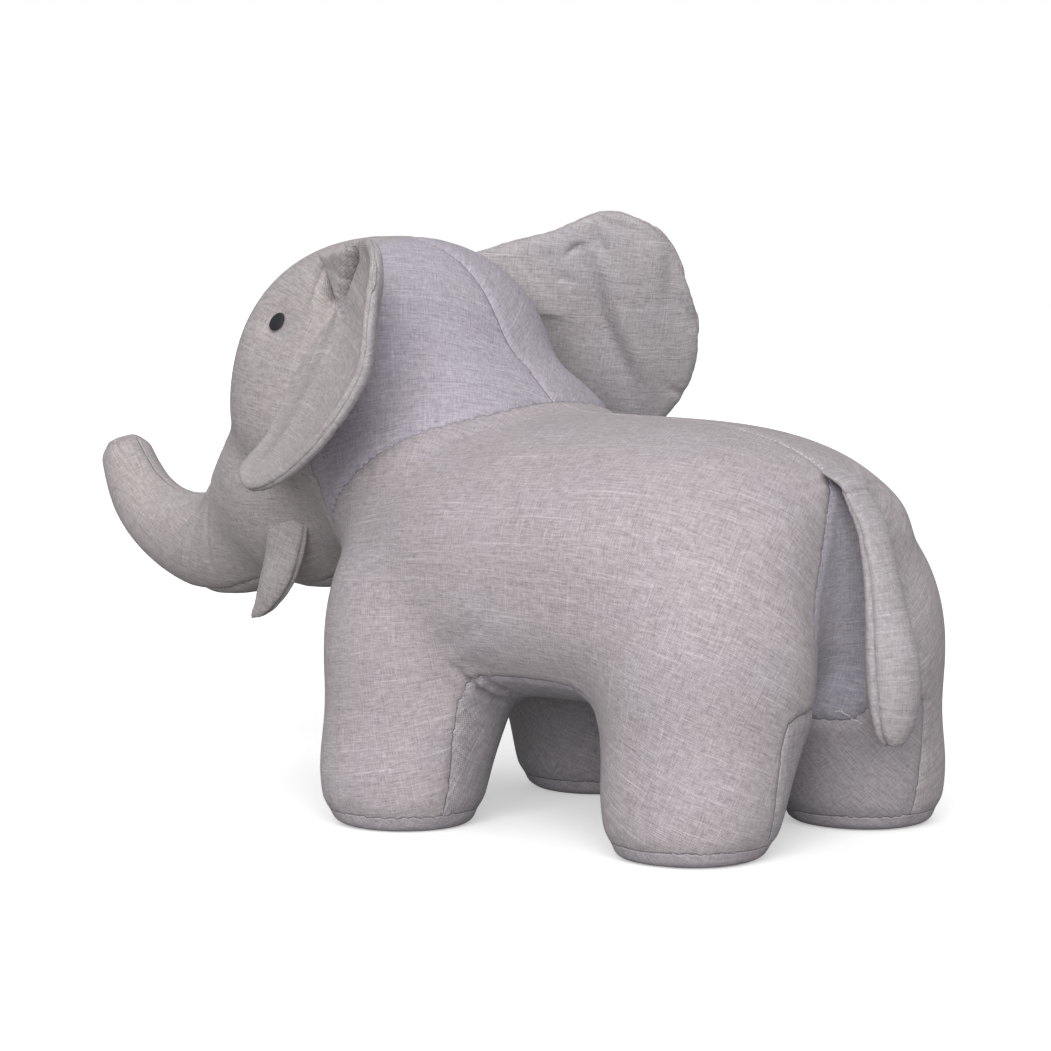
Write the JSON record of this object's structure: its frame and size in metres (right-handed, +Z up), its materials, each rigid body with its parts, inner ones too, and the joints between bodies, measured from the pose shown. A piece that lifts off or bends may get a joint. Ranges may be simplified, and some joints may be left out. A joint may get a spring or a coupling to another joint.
{
  "type": "stuffed elephant",
  "caption": "Large standing stuffed elephant in woven linen, with a raised trunk, hinged floppy ears, small tusks and a hanging tail.",
  "frame": {"origin": "on the floor under the middle of the overall box", "axes": "+Z up, the elephant looks along -Y, its left side is +X"},
  "size_m": [0.5366, 0.9192, 0.5175],
  "materials": {
    "linen": "heathered grey linen-look plain weave, matte",
    "stuffing": "white polyester fibre",
    "eye_button": "matte black",
    "washer_plastic": "matte, hidden"
  },
  "bodies": {
    "body_and_head": {"belly_panel": "linen", "rump_gusset": "linen", "side_panel_left": "linen", "side_panel_right": "linen", "sole_front_left": "linen", "sole_front_right": "linen", "sole_hind_left": "linen", "sole_hind_right": "linen", "chin_panel": "linen", "trunk_tip": "linen", "face_panel_left": "linen", "face_panel_right": "linen", "nape_panel_left": "linen", "nape_panel_right": "linen", "torso_stuffing": "stuffing", "leg_stuffing_front_left": "stuffing", "leg_stuffing_front_right": "stuffing", "leg_stuffing_hind_left": "stuffing", "leg_stuffing_hind_right": "stuffing", "head_stuffing": "stuffing", "trunk_stuffing": "stuffing", "eye_left": "eye_button", "eye_right": "eye_button", "eye_washer_left": "washer_plastic", "eye_washer_right": "washer_plastic"},
    "ear_left": {"ear_front_left": "linen", "ear_wadding_left": "stuffing", "ear_back_left": "linen"},
    "ear_right": {"ear_front_right": "linen", "ear_wadding_right": "stuffing", "ear_back_right": "linen"},
    "tusk_left": {"tusk_left_cover": "linen", "tusk_left_stuffing": "stuffing"},
    "tusk_right": {"tusk_right_cover": "linen", "tusk_right_stuffing": "stuffing"},
    "tail_tab": {"tail_tab": "linen"},
    "tail": {"tail_cover": "linen", "tail_stuffing": "stuffing"}
  },
  "joints": [
    {"name": "ear_left_flap", "type": "hinge", "parent": "body_and_head", "child": "ear_left", "pos_m": [0.092, -0.0828, 0.434], "axis": [-0.6488, -0.105, 0.7537], "range_deg": [-25, 12], "stiffness_Nm_per_rad": 2},
    {"name": "ear_right_flap", "type": "hinge", "parent": "body_and_head", "child": "ear_right", "pos_m": [-0.092, -0.0828, 0.434], "axis": [0.6488, -0.105, 0.7537], "range_deg": [-12, 25], "stiffness_Nm_per_rad": 2},
    {"name": "tusk_left_bend", "type": "hinge", "parent": "body_and_head", "child": "tusk_left", "pos_m": [0.104, -0.1348, 0.24], "axis": [0, 0.9363, 0.3511], "range_deg": [-25, 0], "stiffness_Nm_per_rad": 0.1},
    {"name": "tusk_right_bend", "type": "hinge", "parent": "body_and_head", "child": "tusk_right", "pos_m": [-0.104, -0.1348, 0.24], "axis": [0, 0.9363, 0.3511], "range_deg": [0, 25], "stiffness_Nm_per_rad": 0.1},
    {"name": "tail_swing", "type": "hinge", "parent": "body_and_head", "child": "tail_tab", "pos_m": [0, 0.3892, 0.304], "axis": [0, 1, 0], "range_deg": [-18, 18]},
    {"name": "tail_lift", "type": "hinge", "parent": "tail_tab", "child": "tail", "pos_m": [0, 0.4002, 0.2952], "axis": [1, 0, 0], "range_deg": [0, 70]}
  ]
}
